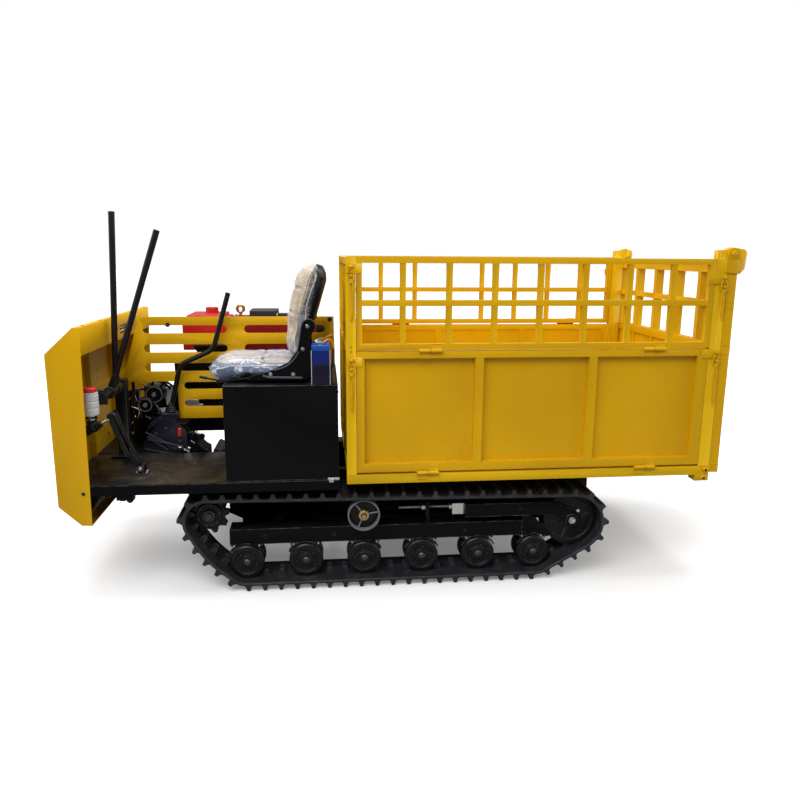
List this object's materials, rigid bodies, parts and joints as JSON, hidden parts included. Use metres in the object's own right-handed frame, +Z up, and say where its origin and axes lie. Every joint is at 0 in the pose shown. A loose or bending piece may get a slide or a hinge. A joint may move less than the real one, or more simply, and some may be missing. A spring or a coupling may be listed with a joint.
{
  "type": "tracked dump transporter",
  "caption": "Self-propelled rubber-tracked transporter with a tilting stake-sided load box, folding side gates, driver's seat, levers and engine.",
  "frame": {"origin": "on the ground under the middle of the machine's bounding box", "axes": "+X to the rear (tailgate), +Y to the machine's right (engine side) as seen by the driver facing the cowl at -X, +Z up"},
  "size_m": [3.034, 1.235, 1.7157],
  "materials": {
    "yellow_paint": "gloss yellow paint",
    "black_paint": "gloss black paint",
    "box_floor_yellow": "gloss yellow paint, scuffed inside",
    "track_rubber": "matt black rubber, dusty",
    "wheel_black": "satin black paint",
    "worn_steel": "worn bare steel",
    "bright_rod": "ground steel rod",
    "checker_floor": "black painted floor plate, dusty",
    "engine_red": "gloss red paint",
    "gearbox_navy": "navy blue casting paint",
    "seat_vinyl": "beige vinyl under thin clear wrapping",
    "seat_shell": "black pressed steel",
    "battery_case": "blue and black battery case",
    "reservoir_plastic": "milky white plastic, red cap"
  },
  "bodies": {
    "chassis": {"chassis_frame": "black_paint", "platform": "checker_floor", "front_cowl": "yellow_paint", "guard_panel": "yellow_paint", "seat_base": "black_paint", "battery": "battery_case", "engine_block": "engine_red", "fuel_tank": "engine_red", "gearbox": "gearbox_navy", "lever_stand": "black_paint", "pedal_bracket": "black_paint", "brake_cylinder": "reservoir_plastic", "track_left": "track_rubber", "track_right": "track_rubber", "track_frame_left": "black_paint", "track_frame_right": "black_paint"},
    "load_box": {"load_box": "box_floor_yellow"},
    "tailgate": {"tailgate": "yellow_paint"},
    "hoist_barrel": {"hoist_barrel": "black_paint"},
    "hoist_rod": {"hoist_rod": "bright_rod"},
    "flywheel": {"flywheel": "worn_steel"},
    "gear_lever": {"gear_lever": "black_paint"},
    "steering_lever_left": {"steering_lever_left": "black_paint"},
    "steering_lever_right": {"steering_lever_right": "black_paint"},
    "brake_pedal": {"brake_pedal": "black_paint"},
    "seat": {"seat_frame": "seat_shell", "seat_cushion": "seat_vinyl", "seat_back": "seat_vinyl"},
    "drive_sprocket_left": {"drive_sprocket_left": "worn_steel"},
    "idler_left": {"idler_left": "wheel_black"},
    "tension_yoke_left": {"tension_yoke_left": "black_paint"},
    "carrier_wheel_left": {"carrier_wheel_left": "worn_steel"},
    "lower_gate_left": {"lower_gate_left": "yellow_paint"},
    "mesh_gate_left": {"mesh_gate_left": "yellow_paint"},
    "road_roller_left_1": {"road_roller_left_1": "wheel_black"},
    "road_roller_left_2": {"road_roller_left_2": "wheel_black"},
    "road_roller_left_3": {"road_roller_left_3": "wheel_black"},
    "road_roller_left_4": {"road_roller_left_4": "wheel_black"},
    "road_roller_left_5": {"road_roller_left_5": "wheel_black"},
    "road_roller_left_6": {"road_roller_left_6": "wheel_black"},
    "gate_latch_left_front_lower": {"gate_latch_left_front_lower": "yellow_paint"},
    "gate_latch_left_rear_lower": {"gate_latch_left_rear_lower": "yellow_paint"},
    "gate_latch_left_front_upper": {"gate_latch_left_front_upper": "yellow_paint"},
    "gate_latch_left_rear_upper": {"gate_latch_left_rear_upper": "yellow_paint"},
    "drive_sprocket_right": {"drive_sprocket_right": "worn_steel"},
    "idler_right": {"idler_right": "wheel_black"},
    "tension_yoke_right": {"tension_yoke_right": "black_paint"},
    "carrier_wheel_right": {"carrier_wheel_right": "worn_steel"},
    "lower_gate_right": {"lower_gate_right": "yellow_paint"},
    "mesh_gate_right": {"mesh_gate_right": "yellow_paint"},
    "road_roller_right_1": {"road_roller_right_1": "wheel_black"},
    "road_roller_right_2": {"road_roller_right_2": "wheel_black"},
    "road_roller_right_3": {"road_roller_right_3": "wheel_black"},
    "road_roller_right_4": {"road_roller_right_4": "wheel_black"},
    "road_roller_right_5": {"road_roller_right_5": "wheel_black"},
    "road_roller_right_6": {"road_roller_right_6": "wheel_black"},
    "gate_latch_right_front_lower": {"gate_latch_right_front_lower": "yellow_paint"},
    "gate_latch_right_rear_lower": {"gate_latch_right_rear_lower": "yellow_paint"},
    "gate_latch_right_front_upper": {"gate_latch_right_front_upper": "yellow_paint"},
    "gate_latch_right_rear_upper": {"gate_latch_right_rear_upper": "yellow_paint"}
  },
  "joints": [
    {"name": "box_tilt", "type": "hinge", "parent": "chassis", "child": "load_box", "pos_m": [0.91, 0, 0.48], "axis": [0, 1, 0], "range_deg": [0, 35]},
    {"name": "hoist_swing", "type": "hinge", "parent": "chassis", "child": "hoist_barrel", "pos_m": [-0.17, 0, 0.28], "axis": [0, 1, 0], "range_deg": [-16.8, 0]},
    {"name": "hoist_extend", "type": "slide", "parent": "hoist_barrel", "child": "hoist_rod", "axis": [0.9595, 0, 0.2817], "range_m": [0, 0.181]},
    {"name": "tailgate_swing", "type": "hinge", "parent": "load_box", "child": "tailgate", "pos_m": [1.455, 0, 1.546], "axis": [0, -1, 0], "range_deg": [0, 75]},
    {"name": "flywheel_spin", "type": "hinge", "parent": "chassis", "child": "flywheel", "pos_m": [-0.7, 0.5, 0.86], "axis": [0, 1, 0], "continuous": true},
    {"name": "gear_lever_tilt", "type": "hinge", "parent": "chassis", "child": "gear_lever", "pos_m": [-1.14, -0.045, 0.735], "axis": [0, 1, 0], "range_deg": [-10, 10]},
    {"name": "steering_left_pull", "type": "hinge", "parent": "chassis", "child": "steering_lever_left", "pos_m": [-1.35, -0.3, 0.9], "axis": [0, 1, 0], "range_deg": [-18, 4]},
    {"name": "steering_right_pull", "type": "hinge", "parent": "chassis", "child": "steering_lever_right", "pos_m": [-1.35, -0.215, 0.9], "axis": [0, 1, 0], "range_deg": [-2, 18]},
    {"name": "brake_press", "type": "hinge", "parent": "chassis", "child": "brake_pedal", "pos_m": [-1.2, -0.425, 0.572], "axis": [0, -1, 0], "range_deg": [0, 7], "stiffness_Nm_per_rad": 10, "springref_deg": -34.38},
    {"name": "seat_slide", "type": "slide", "parent": "chassis", "child": "seat", "axis": [1, 0, 0], "range_m": [-0.08, 0]},
    {"name": "sprocket_spin_left", "type": "hinge", "parent": "chassis", "child": "drive_sprocket_left", "pos_m": [-0.905, -0.44, 0.342], "axis": [0, 1, 0], "continuous": true},
    {"name": "tension_slide_left", "type": "slide", "parent": "chassis", "child": "tension_yoke_left", "axis": [1, 0, 0], "range_m": [-0.02, 0]},
    {"name": "idler_spin_left", "type": "hinge", "parent": "tension_yoke_left", "child": "idler_left", "pos_m": [0.815, -0.44, 0.279], "axis": [0, 1, 0], "continuous": true},
    {"name": "carrier_spin_left", "type": "hinge", "parent": "chassis", "child": "carrier_wheel_left", "pos_m": [-0.192, -0.522, 0.347], "axis": [0, 1, 0], "continuous": true},
    {"name": "roller_spin_left_1", "type": "hinge", "parent": "chassis", "child": "road_roller_left_1", "pos_m": [-0.736, -0.44, 0.1185], "axis": [0, 1, 0], "continuous": true},
    {"name": "roller_spin_left_2", "type": "hinge", "parent": "chassis", "child": "road_roller_left_2", "pos_m": [-0.462, -0.44, 0.1185], "axis": [0, 1, 0], "continuous": true},
    {"name": "roller_spin_left_3", "type": "hinge", "parent": "chassis", "child": "road_roller_left_3", "pos_m": [-0.188, -0.44, 0.1185], "axis": [0, 1, 0], "continuous": true},
    {"name": "roller_spin_left_4", "type": "hinge", "parent": "chassis", "child": "road_roller_left_4", "pos_m": [0.086, -0.44, 0.1185], "axis": [0, 1, 0], "continuous": true},
    {"name": "roller_spin_left_5", "type": "hinge", "parent": "chassis", "child": "road_roller_left_5", "pos_m": [0.36, -0.44, 0.1185], "axis": [0, 1, 0], "continuous": true},
    {"name": "roller_spin_left_6", "type": "hinge", "parent": "chassis", "child": "road_roller_left_6", "pos_m": [0.634, -0.44, 0.1185], "axis": [0, 1, 0], "continuous": true},
    {"name": "lower_gate_fold_left", "type": "hinge", "parent": "load_box", "child": "lower_gate_left", "pos_m": [0.578, -0.609, 0.567], "axis": [1, 0, 0], "range_deg": [0, 120]},
    {"name": "mesh_gate_fold_left", "type": "hinge", "parent": "lower_gate_left", "child": "mesh_gate_left", "pos_m": [0.578, -0.609, 1.122], "axis": [1, 0, 0], "range_deg": [0, 158]},
    {"name": "latch_swing_left_front_lower", "type": "hinge", "parent": "lower_gate_left", "child": "gate_latch_left_front_lower", "pos_m": [-0.248, -0.609, 1.082], "axis": [-1, 0, 0], "range_deg": [0, 150]},
    {"name": "latch_swing_left_rear_lower", "type": "hinge", "parent": "lower_gate_left", "child": "gate_latch_left_rear_lower", "pos_m": [1.42, -0.609, 1.104], "axis": [-1, 0, 0], "range_deg": [0, 150]},
    {"name": "latch_swing_left_front_upper", "type": "hinge", "parent": "mesh_gate_left", "child": "gate_latch_left_front_upper", "pos_m": [-0.248, -0.609, 1.482], "axis": [-1, 0, 0], "range_deg": [0, 150]},
    {"name": "latch_swing_left_rear_upper", "type": "hinge", "parent": "mesh_gate_left", "child": "gate_latch_left_rear_upper", "pos_m": [1.424, -0.609, 1.44], "axis": [-1, 0, 0], "range_deg": [0, 150]},
    {"name": "sprocket_spin_right", "type": "hinge", "parent": "chassis", "child": "drive_sprocket_right", "pos_m": [-0.905, 0.44, 0.342], "axis": [0, 1, 0], "continuous": true},
    {"name": "tension_slide_right", "type": "slide", "parent": "chassis", "child": "tension_yoke_right", "axis": [1, 0, 0], "range_m": [-0.02, 0]},
    {"name": "idler_spin_right", "type": "hinge", "parent": "tension_yoke_right", "child": "idler_right", "pos_m": [0.815, 0.44, 0.279], "axis": [0, 1, 0], "continuous": true},
    {"name": "carrier_spin_right", "type": "hinge", "parent": "chassis", "child": "carrier_wheel_right", "pos_m": [-0.192, 0.522, 0.347], "axis": [0, 1, 0], "continuous": true},
    {"name": "roller_spin_right_1", "type": "hinge", "parent": "chassis", "child": "road_roller_right_1", "pos_m": [-0.736, 0.44, 0.1185], "axis": [0, 1, 0], "continuous": true},
    {"name": "roller_spin_right_2", "type": "hinge", "parent": "chassis", "child": "road_roller_right_2", "pos_m": [-0.462, 0.44, 0.1185], "axis": [0, 1, 0], "continuous": true},
    {"name": "roller_spin_right_3", "type": "hinge", "parent": "chassis", "child": "road_roller_right_3", "pos_m": [-0.188, 0.44, 0.1185], "axis": [0, 1, 0], "continuous": true},
    {"name": "roller_spin_right_4", "type": "hinge", "parent": "chassis", "child": "road_roller_right_4", "pos_m": [0.086, 0.44, 0.1185], "axis": [0, 1, 0], "continuous": true},
    {"name": "roller_spin_right_5", "type": "hinge", "parent": "chassis", "child": "road_roller_right_5", "pos_m": [0.36, 0.44, 0.1185], "axis": [0, 1, 0], "continuous": true},
    {"name": "roller_spin_right_6", "type": "hinge", "parent": "chassis", "child": "road_roller_right_6", "pos_m": [0.634, 0.44, 0.1185], "axis": [0, 1, 0], "continuous": true},
    {"name": "lower_gate_fold_right", "type": "hinge", "parent": "load_box", "child": "lower_gate_right", "pos_m": [0.578, 0.609, 0.567], "axis": [-1, 0, 0], "range_deg": [0, 120]},
    {"name": "mesh_gate_fold_right", "type": "hinge", "parent": "lower_gate_right", "child": "mesh_gate_right", "pos_m": [0.578, 0.609, 1.122], "axis": [-1, 0, 0], "range_deg": [0, 158]},
    {"name": "latch_swing_right_front_lower", "type": "hinge", "parent": "lower_gate_right", "child": "gate_latch_right_front_lower", "pos_m": [-0.248, 0.609, 1.082], "axis": [1, 0, 0], "range_deg": [0, 150]},
    {"name": "latch_swing_right_rear_lower", "type": "hinge", "parent": "lower_gate_right", "child": "gate_latch_right_rear_lower", "pos_m": [1.42, 0.609, 1.104], "axis": [1, 0, 0], "range_deg": [0, 150]},
    {"name": "latch_swing_right_front_upper", "type": "hinge", "parent": "mesh_gate_right", "child": "gate_latch_right_front_upper", "pos_m": [-0.248, 0.609, 1.482], "axis": [1, 0, 0], "range_deg": [0, 150]},
    {"name": "latch_swing_right_rear_upper", "type": "hinge", "parent": "mesh_gate_right", "child": "gate_latch_right_rear_upper", "pos_m": [1.424, 0.609, 1.44], "axis": [1, 0, 0], "range_deg": [0, 150]}
  ],
  "couplings": [
    {"joint": "hoist_swing", "follows": "box_tilt", "ratio": -0.474},
    {"joint": "hoist_extend", "follows": "box_tilt", "m_per_rad": 0.2939}
  ]
}
